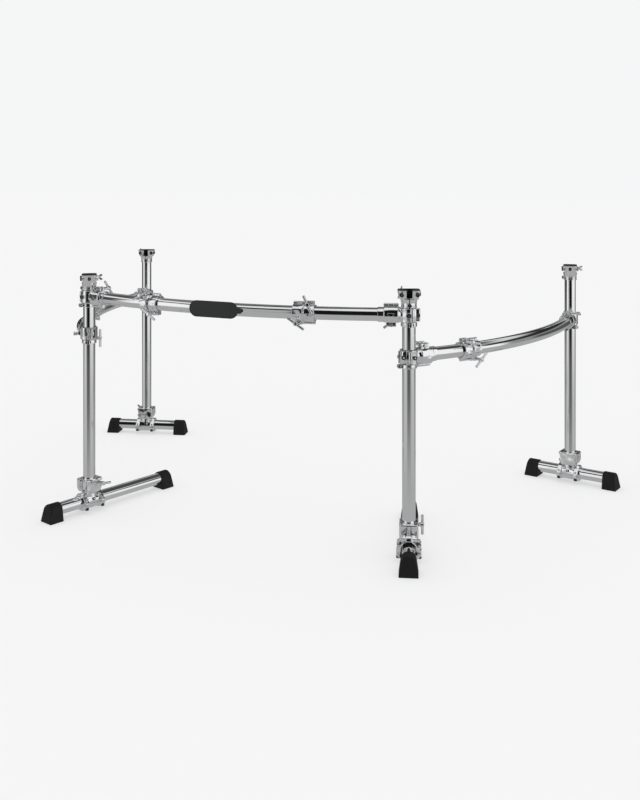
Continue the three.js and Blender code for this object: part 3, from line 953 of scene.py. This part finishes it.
# The accessory clamps: a ring with a disc on the bar, and a ring that swivels on it
accessory = {
    "width": 30,
    "earWidth": 24,
    "discRadius": 32.8,
    "discShoulder": 29.5,
    "discThickness": 3,
}
accessoryNames = [name.removesuffix("_slide") for name in joints if name.endswith("_slide")]
secondScrews = {  # the turn of each second screw's bar, and whether it faces its first screw
    "left_accessory_clamp": {"bar": -64, "opposed": False},
    "middle_accessory_clamp": {"bar": 25, "opposed": False},
    "outer_left_accessory_clamp": {"bar": 90, "opposed": True},
    "outer_right_accessory_clamp": {"bar": 78, "opposed": False},
}


def discKit():  # the disc ring, its disc on its +Z face
    a = accessory
    half = a["width"] / 2
    top = half + a["discThickness"]
    profile = [(splitRing["bore"], half - 0.6, 0.4), (a["discShoulder"], half - 0.6, 0.4),
               (a["discRadius"], half + 0.4, 0.4), (a["discRadius"], top, 0.7),
               (splitRing["bore"], top, 0.4)]
    return ringKit(a["width"], a["earWidth"]) + [(lathe(rounded(profile, 3), 72), "castChrome")]


def ringFrame(centre, along, screwWay, handleWay):  # ears along screwWay, the handle at -Y
    sideways = along.cross(screwWay)
    along = -along if sideways.dot(handleWay) > 0 else along
    return axes(centre, screwWay, along)


def discFrame(name, centre, along):  # beside its swivel ring on the bend, Z towards its disc
    bend = jointPlace(f"{name}_slide")
    radius = (centre.xy - bend.xy).length
    low, high = extent(f"{name}_disc_ring", centre, along)
    towards = 1 if high + low > 0 else -1
    near, far = (low, high) if towards > 0 else (-high, -low)
    discMiddle = towards * (near + accessory["discThickness"] * mm + far) / 2
    spoke = centre - bend
    spoke.z = 0
    side = 1 if up.cross(spoke).dot(along) > 0 else -1
    turn = Matrix.Rotation(side * (discMiddle / radius), 3, "Z")
    spot = bend + turn @ spoke
    return axes(Vector((spot.x, spot.y, centre.z)), up, (turn @ along) * -towards)


def addSecondScrew(name, kit, where, handleWay):  # through the disc ring's ears, with its nut
    second = secondScrews[name]
    handleSide = where.to_3x3() @ Vector((0, 1, 0))
    nutSide = 1 if (handleSide.dot(handleWay) < 0) != second["opposed"] else -1
    ringNut(name, where, nutSide)
    out = Matrix.Translation((splitRing["screwPlace"], 0, 0))
    out = out @ Matrix.Rotation(math.radians(90 * nutSide), 4, "X")
    out = out @ Matrix.Rotation(math.radians(second["bar"]), 4, "Z")
    addPiece(f"{name}_second_screw", placed(kit, where @ out), name, "screw_chrome")


def addAccessoryClamps():
    swivelKit = ringKit(accessory["width"], accessory["earWidth"])
    disc = discKit()
    screwKit = handleScrewKit()
    for name in accessoryNames:
        swivel, ring = f"{name}_swivel", f"{name}_disc_ring"
        handleWay = jointAxis(f"{name}_screw_turn")
        centre = jointPlace(f"{swivel}_turn")
        along = jointAxis(f"{swivel}_turn")
        where = ringFrame(centre, along, jointPlace(f"{name}_screw_turn") - centre, handleWay)
        addPiece(f"{swivel}_ring_shells", placed(swivelKit, where), swivel, "cast_chrome",
                 f"{swivel}_ring")
        ringNut(swivel, where, 1)
        discWhere = discFrame(name, centre, along)
        addPiece(f"{ring}_shells", placed(disc, discWhere), name, "cast_chrome", ring)
        addSecondScrew(name, screwKit, discWhere, handleWay)


# The clamps that join the bars to the posts. The post runs along Z, the bar along X,
# and the ears of the bar's socket point down.
barClamp = {
    "postHeight": 40,
    "postEarHeight": 35,
    "postRim": 2.4,
    "earReach": 32,
    "keyPlace": 26,
    "neckStart": 15,
    "neckFlare": 23,
    "neckRadius": 19.6,
    "socketStart": 29,
    "socketEnd": 71,
    "socketEarWidth": 28,
    "socketRim": 3,
    "sleeveRadius": 21.2,
    "sleeveEnd": 88,
    "hingeAngle": 113,  # degrees round the post from the bar
    "hingeGap": 7,  # degrees to either side of the hinge
    "hingeReach": 24.6,
    "hingeRadius": 5.8,
    "hingeLength": 34,
    "bossRadius": 8.4,
    "bossStart": 21,
    "bossFace": 28.6,
}


def barClampKit():
    c, r = barClamp, splitRing
    half = c["postHeight"] / 2
    flat, slit = ringAngles()
    before, after = c["hingeAngle"] - c["hingeGap"], c["hingeAngle"] + c["hingeGap"]
    body = arc(r["radius"], flat - 180, before, 56) + arc(r["bore"], before, slit - 180, 64)
    body += [(-r["flatStart"], -r["halfSlit"])]
    gate = arc(r["radius"], after, 180 - flat, 12)
    gate += [(-r["flatStart"], r["halfSlit"])] + arc(r["bore"], 180 - slit, after, 20)
    ear = ringEar(c["earReach"], c["postEarHeight"], 4)
    wide, end = c["neckRadius"], c["socketStart"] + 1
    neckProfile = [(0, c["neckStart"]), (wide, c["neckStart"]), (wide, c["neckFlare"], 6),
                   (wide + 4, end), (0, end)]
    neck = turned(lathe(rounded(neckProfile, 6), 64), y=90)
    boss = turned(rod(c["bossRadius"], c["bossStart"], c["bossFace"], 1.2, 40), x=-90)
    inWall = rod(r["bore"] + 2, -half - 5, half + 5, 0, 80)
    ring = prism(body, -half, half, c["postRim"], 4)
    fixedSide = fused(ring, cut(neck, inWall), boss, turned(ear, z=180))
    gateSide = fused(prism(gate, -half, half, c["postRim"], 4), mirrored(ear, "X"))
    angle = math.radians(c["hingeAngle"])
    hingePlace = (c["hingeReach"] * math.cos(angle), c["hingeReach"] * math.sin(angle), 0)
    barrels = [turned(shape, move=hingePlace)
               for shape in hinge(c["hingeLength"], 3, c["hingeRadius"], r["pinRadius"])]
    sleeve = turned(pipe(c["sleeveRadius"], r["bore"], c["socketEnd"] - 3, c["sleeveEnd"], 0.7), y=90)
    length = c["socketEnd"] - c["socketStart"]
    centre = (c["socketStart"] + c["socketEnd"]) / 2
    socket = [turned(shape, y=90, move=(centre, 0, 0))
              for shape, finish in ringKit(length, c["socketEarWidth"], c["socketRim"])]
    return [(shape, "castChrome") for shape in (fixedSide, gateSide, *barrels, sleeve, *socket)]


def barClampNames():  # each bar, the corner of the post it is clamped to, and the clamp's name
    for bar, ends in barEnds.items():
        for corner in ends[:2]:
            end = corner.split("_")[1 if bar == "front_bar" else 0]
            yield bar, corner, f"{bar}_{end}_clamp"


def barClampFrame(name, bar, corner):  # Z turned down where the socket's ears are above the bar
    height = middle(bar).z
    screw = jointPlace(f"{name}_screw_turn")
    along = Vector((*(screw.xy - postAxis[corner].xy), 0))
    return axes(Vector((*postAxis[corner].xy, height)), along, up if screw.z < height else -up)


def addBarClamps():
    c, r = barClamp, splitRing
    kit = barClampKit()
    centre = (c["socketStart"] + c["socketEnd"]) / 2
    face = r["earHalf"] - 0.2
    for bar, corner, name in barClampNames():
        where = barClampFrame(name, bar, corner)
        addPiece(f"{name}_casting", placed(kit, where), bar, "cast_chrome", name)
        addSpot(bar, "hexNut", where, (centre, face, -r["screwPlace"]), (0, 1, 0))
        addSpot(bar, "keyBolt", where, (0, c["bossFace"] - 0.3, 0), (0, 1, 0))
        addSpot(bar, "keyBolt", where, (-c["keyPlace"], face, 0), (0, 1, 0))
        addSpot(bar, "hexNut", where, (-c["keyPlace"], -face, 0), (0, -1, 0))


# Memory collars: thin split rings that keep each clamp's height on its post
collar = {
    "height": 12,
    "radius": 23.2,
    "gap": 0.6,
    "lugRoot": 20.5,
    "lugReach": 33,
    "lugHalf": 5.5,
    "slitStart": 15,
    "slitHalf": 0.8,
    "boltPlace": 28.5,
    "boltSize": 0.8,
    "bearings": {  # where each collar's lug points, in degrees round its post
        "front_bar_left_clamp": 238,
        "front_bar_right_clamp": -62,
        "left_side_bar_front_clamp": -60,
        "left_side_bar_rear_clamp": 150,
        "right_side_bar_front_clamp": 215,
        "right_side_bar_rear_clamp": -40,
    },
}


def collarKit():
    c = collar
    half = c["height"] / 2
    ring = pipe(c["radius"], splitRing["bore"], -half, half, 1.4)
    lug = rounded([(c["lugRoot"], -c["lugHalf"]), (c["lugReach"], -c["lugHalf"], 3),
                   (c["lugReach"], c["lugHalf"], 3), (c["lugRoot"], c["lugHalf"])], 4)
    slit = block((c["slitStart"], -c["slitHalf"], -half - 2),
                 (c["lugReach"] + 4, c["slitHalf"], half + 2), 0)
    return [(cut(fused(ring, prism(lug, -half + 0.4, half - 0.4, 1.2)), slit), "castChrome")]


def addCollars():
    kit = collarKit()
    drop = (barClamp["postHeight"] + collar["height"]) / 2 + collar["gap"]
    face = collar["lugHalf"] - 0.2
    for bar, corner, name in barClampNames():
        place = Vector((*postAxis[corner].xy, middle(bar).z - drop * mm))
        angle = math.radians(collar["bearings"][name])
        lugWay = Vector((math.cos(angle), math.sin(angle), 0))
        where = axes(place, lugWay, up)
        addPiece(f"{name}_memory_collar", placed(kit, where), bar, "cast_chrome")
        away = view["acrossFromMiddle"] * lugWay.y + view["back"] * lugWay.x
        for side in (1, -1):  # the bolt's head is on the side that faces the camera
            kind = "keyBolt" if side * away < 0 else "hexNut"
            place = (collar["boltPlace"], side * face, 0)
            addSpot(bar, kind, where, place, (0, side, 0), collar["boltSize"])


# The leg castings. The post runs along Z, the foot tube along X, and the ears of the
# post's ring point to +X. Heights are above the floor.
legClamp = {
    "top": 106,
    "shoulder": 80,
    "waist": 62,
    "waistRadius": 22.5,
    "foot": 33.5,
    "postSeat": 66,
    "earHalf": 9,
    "earWidth": 34,
    "screwHeight": 87,
    "shieldReach": 31,
    "shieldEars": 33,  # its reach on the side of the ears
    "shieldFoot": 25,
    "shieldFootHeight": 61,
    "shieldRim": 6,
    "shieldHalf": 26.8,
    "recessHalf": 8,
    "recessDepth": 5,
    "saddleHalf": 37.5,
    "saddleRadius": 25.2,
    "seam": (28.6, 29.4),  # between the saddle and its cap
    "lugLength": 15,
    "lugSide": ((14, 8.6, 4), (28, 14, 4), (35, 23, 3), (35, 35, 4), (25, 45, 5), (17, 54, 8),
                (8, 60.5, 8)),
    "boltPlace": 29.5,
    "boltSeat": 18,
    "nutSeat": 40.2,
    "smallBoltPlace": 23.22,
    "smallBoltHeight": 41,
    "smallSize": 0.8,
}


def legClampKit():
    c, r = legClamp, splitRing
    column = [(0, c["foot"]), (c["waistRadius"], c["foot"]), (c["waistRadius"], c["waist"], 12),
              (r["radius"], c["shoulder"], 12), (r["radius"], c["top"], 2.6), (0, c["top"])]
    body = lathe(rounded(column, 6), 80)
    reach, foot, ears = c["shieldReach"], c["shieldFoot"], c["shieldEars"]
    high, low = c["top"] - 1, c["shoulder"] - 4
    outline = [(-reach, high, 4), (-reach, low, 9), (-foot, c["shieldFootHeight"], 9),
               (foot, c["shieldFootHeight"], 9), (ears, low, 9), (ears, high, 4)]
    shield = turned(prism(rounded(outline, 8), -c["shieldHalf"], c["shieldHalf"], c["shieldRim"], 5), x=90)
    end = c["saddleHalf"]
    saddle = turned(rod(c["saddleRadius"], 4 - end, end - 4, 2, 64), y=90, move=(0, 0, c["foot"]))
    lugHalf = c["lugLength"] / 2
    lug = turned(prism(rounded(bothSides(c["lugSide"]), 5), -lugHalf, lugHalf, 2, 4), x=90, z=90)
    lugs = [turned(lug, move=(side * (end - lugHalf), 0, 0)) for side in (-1, 1)]
    joined = fused(body, shield, saddle, *lugs)
    wide, screw = c["recessHalf"], c["screwHeight"]
    tall = c["earWidth"] / 2 - 3
    postBore = rod(r["bore"], c["postSeat"], c["top"] + over, 0, 80)
    footBore = turned(rod(r["bore"], -end - over, end + over, 0, 80), y=90, move=(0, 0, c["foot"]))
    seam = block((-end - over, -beyond, c["seam"][0]), (end + over, beyond, c["seam"][1]), 0)
    slit = block((10, -r["halfSlit"], c["postSeat"]), (reach + 10, r["halfSlit"], c["top"] + over), 0)
    flats = [block((r["flatStart"], side, screw - 9), (reach + 10, side + 20, screw + 9), 1)
             for side in (c["earHalf"], -c["earHalf"] - 20)]
    recess = block((-reach - 9, -wide, screw - tall), (c["recessDepth"] - reach, wide, screw + tall), 1)
    casting = cut(joined, postBore, footBore, seam, slit, recess, *flats)
    knuckles = [turned(shape, move=(-r["knucklePlace"] - 2, 0, screw))
                for shape in hinge(c["earWidth"] - 8, 3, r["knuckleRadius"], r["pinRadius"])]
    return [(shape, "castChrome") for shape in (casting, *knuckles)]


def addLegClamps():
    c = legClamp
    kit = legClampKit()
    lugMiddle = c["saddleHalf"] - c["lugLength"] / 2
    screwSpot = (splitRing["screwPlace"], c["earHalf"] - 0.2, c["screwHeight"])
    for corner in corners:
        where = legFrame(corner)
        node = f"{corner}_leg_clamp"
        addPiece(f"{node}_casting", placed(kit, where), node, "cast_chrome", node)
        addSpot(node, "hexNut", where, screwSpot, (0, 1, 0))
        for x in (-lugMiddle, lugMiddle):
            for y in (-c["boltPlace"], c["boltPlace"]):
                addSpot(node, "keyBolt", where, (x, y, c["boltSeat"]), (0, 0, -1))
                addSpot(node, "domeNut", where, (x, y, c["nutSeat"]), (0, 0, 1), c["smallSize"])
        for side in (-1, 1):
            place = (0, side * c["smallBoltPlace"], c["smallBoltHeight"])
            addSpot(node, "keyBolt", where, place, (0, side, 0.25), c["smallSize"])


# The chucks on the post tops: a funnel that grips the post, and a slotted cup with a
# black bushing for a round arm. A chuck is long along X and its slot faces -Y.
chuck = {
    "height": 51,
    "cupFoot": 24,
    "cupHalfLength": 32,
    "cupHalfWidth": 24,
    "cupCorner": 11,
    "cupDraft": 5,  # how much narrower the cup is all round at its foot
    "cupRim": 1.8,
    "boltBoss": 7.2,
    "lipRadius": 22.7,
    "lip": 3,
    "footRadius": 21.8,
    "waistRadius": 22.2,
    "waist": 14,
    "shoulderRadius": 24,
    "grip": 28.3,
    "bore": 15.4,
    "bushing": 13.2,
    "halfSlot": 8.5,
    "plateHalfSlot": 7,
    "slit": 1.2,
    "plateInset": 1,
    "plateThickness": 1.1,
    "boltPlace": 22.5,
    "boltHeight": 38,
    "endBoltPlace": 29.4,
    "endBoltSize": 0.9,
    "lowBoss": 6.8,
    "lowBoltHeight": 7,
    "lowBoltSize": 0.8,
}


def chuckOutline(shrink):
    x, y = chuck["cupHalfLength"] - shrink, chuck["cupHalfWidth"] - shrink
    corner = chuck["cupCorner"] - shrink
    return rounded([(x, -y, corner), (x, y, corner), (-x, y, corner), (-x, -y, corner)], 8)


def chuckCup(low, high):
    lower, upper = [], []
    for draw, rise in roundOver(chuck["cupRim"], 4):
        lower.append([(*p, low + rise) for p in chuckOutline(chuck["cupDraft"] + draw)])
        upper.append([(*p, high - rise) for p in chuckOutline(draw)])
    return skin(lower + upper[::-1], False)


def chuckKit():
    c, r = chuck, splitRing
    plateFoot = c["height"] - c["plateThickness"]
    bosses = [turned(rod(c["boltBoss"], -c["cupHalfWidth"], c["cupHalfWidth"], 0.9), x=90,
                     move=(side * c["boltPlace"], 0, c["boltHeight"])) for side in (-1, 1)]
    profile = [(0, 0), (c["lipRadius"], 0, 0.8), (c["lipRadius"], c["lip"], 0.8),
               (c["footRadius"], c["lip"] + 1, 0.4), (c["waistRadius"], c["waist"], 8),
               (c["shoulderRadius"], c["cupFoot"] + 1), (0, c["cupFoot"] + 1)]
    funnel = lathe(rounded(profile, 4), 72)
    lowBoss = turned(rod(c["lowBoss"], 20, c["cupHalfWidth"], 1, 32), x=90, move=(0, 0, c["lowBoltHeight"]))
    solid = fused(chuckCup(c["cupFoot"], plateFoot), funnel, lowBoss, *bosses)

    def opening(half, low, high, front=-beyond, back=0):
        return block((-half, front, low), (half, back, high), 0)

    slot = opening(c["halfSlot"], c["grip"], c["height"] + over)
    slits = [opening(c["slit"], -over, c["grip"] + 1),
             opening(c["slit"] / 2, c["cupFoot"] + 6, c["height"] + over, 0, beyond)]
    casting = cut(solid, rod(r["bore"], -over, c["grip"], 0, 80),
                  rod(c["bore"], c["grip"] - 1, c["height"] + over, 0, 72), slot, *slits)
    narrower = opening(c["plateHalfSlot"], c["grip"] - 1, c["height"] + over)
    sleeve = cut(pipe(c["bore"] - 0.15, c["bushing"], c["grip"] + 0.2, plateFoot, 0.4, 64), narrower)
    plate = cut(prism(chuckOutline(c["plateInset"]), plateFoot, c["height"], 0.4),
                rod(c["bushing"], 0, c["height"] + over, 0, 72), narrower)
    return [(casting, "castChrome"), (sleeve, "sleevePlastic"), (plate, "sleevePlastic")]


def addChucks():
    c = chuck
    kit = chuckKit()
    face = c["cupHalfWidth"] - 0.2
    for corner in corners:
        node = f"{corner}_chuck"
        back = jointAxis(f"{node}_wing_screw_turn")
        where = axes(jointPlace(f"{node}_turn"), back.cross(up), up)
        addPiece(f"{node}_casting", placed(kit, where), node, "cast_chrome", node)
        addSpot(node, "keyBolt", where, (c["boltPlace"], -face, c["boltHeight"]), (0, -1, 0))
        addSpot(node, "hexNut", where, (c["boltPlace"], face, c["boltHeight"]), (0, 1, 0))
        place = (c["endBoltPlace"], 0, c["boltHeight"])
        addSpot(node, "keyBolt", where, place, (1, 0, 0), c["endBoltSize"])
        addSpot(node, "keyBolt", where, (0, -face, c["lowBoltHeight"]), (0, -1, 0), c["lowBoltSize"])


# The bare badge plate on the front bar
badge = {
    "length": 160,
    "height": 48,
    "thickness": 5,
    "border": 2.2,
    "recess": 0.9,
    "tabLength": 12,
    "tabHeight": 16,
}


def stadium(length, height):
    run = (length - height) / 2
    return arc(height / 2, -90, 90, 24, (run, 0)) + arc(height / 2, 90, 270, 24, (-run, 0))


def badgeKit():  # its back at z = 0, its face at +Z, its tab at +X
    b = badge
    plate = prism(stadium(b["length"], b["height"]), 0, b["thickness"], 0.9, 4)
    field = prism(stadium(b["length"] - 2 * b["border"], b["height"] - 2 * b["border"]),
                  b["thickness"] - b["recess"], b["thickness"] + 3, 0)
    end = b["length"] / 2
    half = b["tabHeight"] / 2
    tabOutline = rounded([(end - 6, -half), (end + b["tabLength"], -half, 5),
                          (end + b["tabLength"], half, 5), (end - 6, half)], 6)
    return [(cut(fused(plate, prism(tabOutline, 0.3, b["thickness"] - 0.8, 0.8)), field), "badgePlastic")]


def addBadge():
    b = badge
    node = "front_badge"
    largeFace = 1e-4  # square metres
    faces = [face for face in frame["nodes"][node].data.polygons if face.area > largeFace]
    towards = min(faces, key=lambda face: face.normal.y).normal.copy()
    across = up.cross(towards) * -1
    along = -across if across.x < 0 else across
    centre = middle(node)
    low, high = extent(node, centre, along)
    front = extent(node, centre, towards)[1]
    aside = (low + high) / 2 - b["tabLength"] * mm / 2
    place = centre + along * aside + towards * (front - b["thickness"] * mm)
    kit = placed(badgeKit(), axes(place, along, towards))
    addPiece("front_badge_plate", kit, "front_bar", "badge_plastic", node)


for stage in (addBoots, addHandleScrews, addWingScrews, addAccessoryClamps, addBarClamps,
              addCollars, addLegClamps, addChucks, addBadge, addFasteners):
    stage()
    print(f"{stage.__name__}: {len(pieces)} pieces so far")
